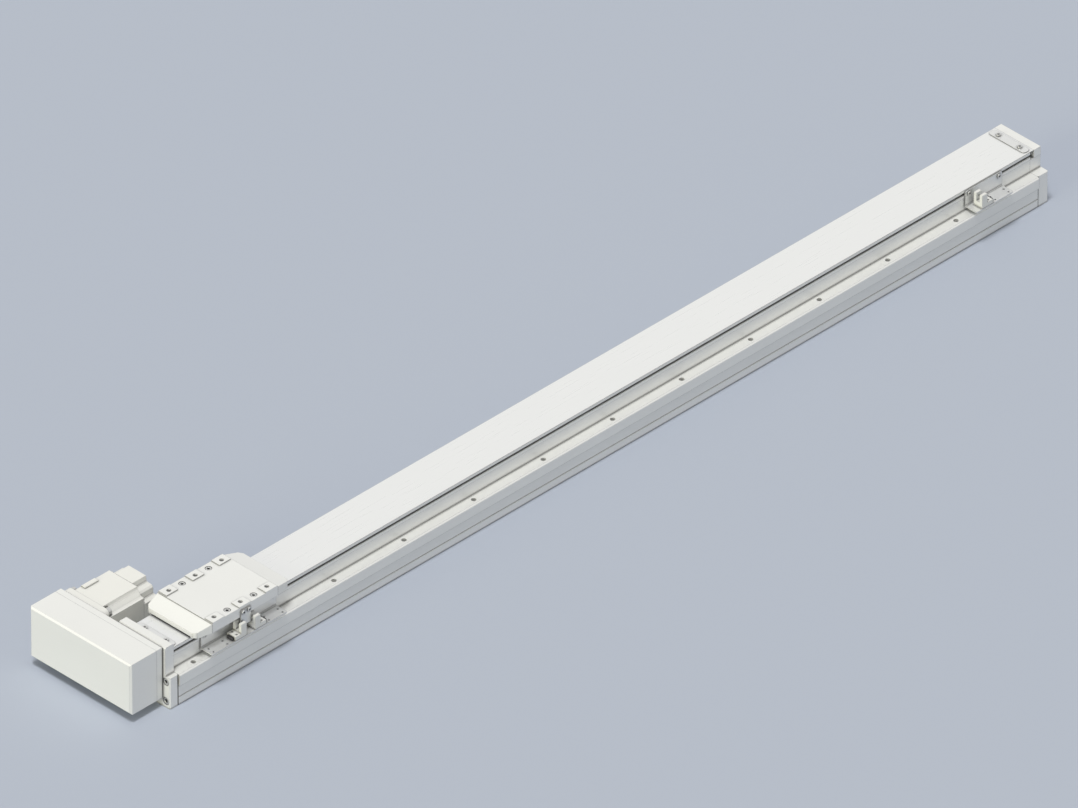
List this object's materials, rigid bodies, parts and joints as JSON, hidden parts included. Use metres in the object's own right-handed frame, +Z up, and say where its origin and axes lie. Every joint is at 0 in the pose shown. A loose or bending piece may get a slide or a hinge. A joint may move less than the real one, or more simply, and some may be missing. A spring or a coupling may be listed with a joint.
{
  "type": "ball screw linear axis",
  "caption": "Slim linear axis: a ball screw drives a carriage along a covered beam, with a belt box, folded servo motor and slotted limit sensors.",
  "frame": {"origin": "underside of the beam, below the screw, at the front of the near end plate", "axes": "+X along the axis away from the belt box, +Y towards the motor, +Z up"},
  "size_m": [1.3145, 0.1626, 0.0765],
  "materials": {
    "clear_anodised": "satin clear anodised",
    "machined_steel": "milled",
    "ground_steel": "ground",
    "screw_steel": "zinc plated",
    "strip_steel": "rolled, fine grain",
    "bracket_steel": "zinc plated",
    "pale_polymer": "fine moulded texture",
    "rubber": "matte",
    "pulley_aluminium": "turned",
    "motor_finish": "satin",
    "sensor_plastic": "moulded",
    "dark_plastic": "moulded"
  },
  "bodies": {
    "base": {"base_beam": "clear_anodised", "belt_cover": "clear_anodised", "belt_cover_screws": "screw_steel", "bracket_screws": "screw_steel", "cover_strip_far": "strip_steel", "cover_strip_near": "strip_steel", "drive_plate": "clear_anodised", "drive_plate_screws": "screw_steel", "far_bearing_housing": "machined_steel", "far_bearing_outer_ring": "ground_steel", "far_end_plate": "clear_anodised", "far_housing_screws": "screw_steel", "far_plate_screws": "screw_steel", "fixed_bearing_housing": "machined_steel", "fixed_bearing_outer_rings": "ground_steel", "fixed_housing_screws": "screw_steel", "guide_rail_motor_side": "ground_steel", "guide_rail_sensor_side": "ground_steel", "motor_flange": "motor_finish", "motor_housing": "motor_finish", "motor_rear_cover": "motor_finish", "motor_screws": "screw_steel", "motor_socket": "motor_finish", "motor_tie_screws": "screw_steel", "near_end_plate": "clear_anodised", "near_plate_screws": "screw_steel", "sensor_bracket_far": "bracket_steel", "sensor_bracket_near": "bracket_steel", "sensor_far_limit": "sensor_plastic", "sensor_home": "sensor_plastic", "sensor_near_limit": "sensor_plastic", "sensor_screws": "screw_steel", "sensor_sockets": "dark_plastic", "slot_nuts": "bracket_steel", "strip_clamp_screws": "screw_steel", "strip_clamps": "bracket_steel", "timing_belt": "rubber", "travel_bumpers": "rubber"},
    "carriage": {"table_plate": "clear_anodised", "table_screws": "screw_steel", "saddle_plate": "machined_steel", "saddle_screws": "screw_steel", "slide_block": "machined_steel", "ball_nut": "ground_steel", "ball_nut_screws": "screw_steel", "ball_return_caps": "pale_polymer", "drive_side_wedge_cap": "pale_polymer", "far_side_wedge_cap": "pale_polymer", "strip_guides": "pale_polymer", "cover_strip_lifted": "strip_steel", "trip_dog": "bracket_steel", "trip_dog_screws": "screw_steel"},
    "screw": {"ball_screw": "ground_steel", "fixed_bearing_inner_rings": "ground_steel", "far_bearing_inner_ring": "ground_steel", "bearing_lock_nut": "machined_steel", "screw_pulley": "pulley_aluminium"},
    "motor_rotor": {"motor_shaft": "ground_steel", "motor_rotor": "motor_finish", "motor_pulley": "pulley_aluminium"}
  },
  "joints": [
    {"name": "carriage_slide", "type": "slide", "parent": "base", "child": "carriage", "axis": [1, 0, 0], "range_m": [-0.01, 1.055], "deforming": ["cover_strip_near", "cover_strip_far"]},
    {"name": "screw_spin", "type": "hinge", "parent": "base", "child": "screw", "pos_m": [0, 0, 0.0416], "axis": [1, 0, 0], "range_deg": [-18995, 185], "deforming": ["timing_belt"]},
    {"name": "motor_spin", "type": "hinge", "parent": "base", "child": "motor_rotor", "pos_m": [0, 0.085, 0.0416], "axis": [1, 0, 0], "range_deg": [-18995, 185]}
  ],
  "couplings": [
    {"joint": "screw_spin", "follows": "carriage_slide", "rad_per_m": -314.16},
    {"joint": "motor_spin", "follows": "carriage_slide", "rad_per_m": -314.16}
  ]
}
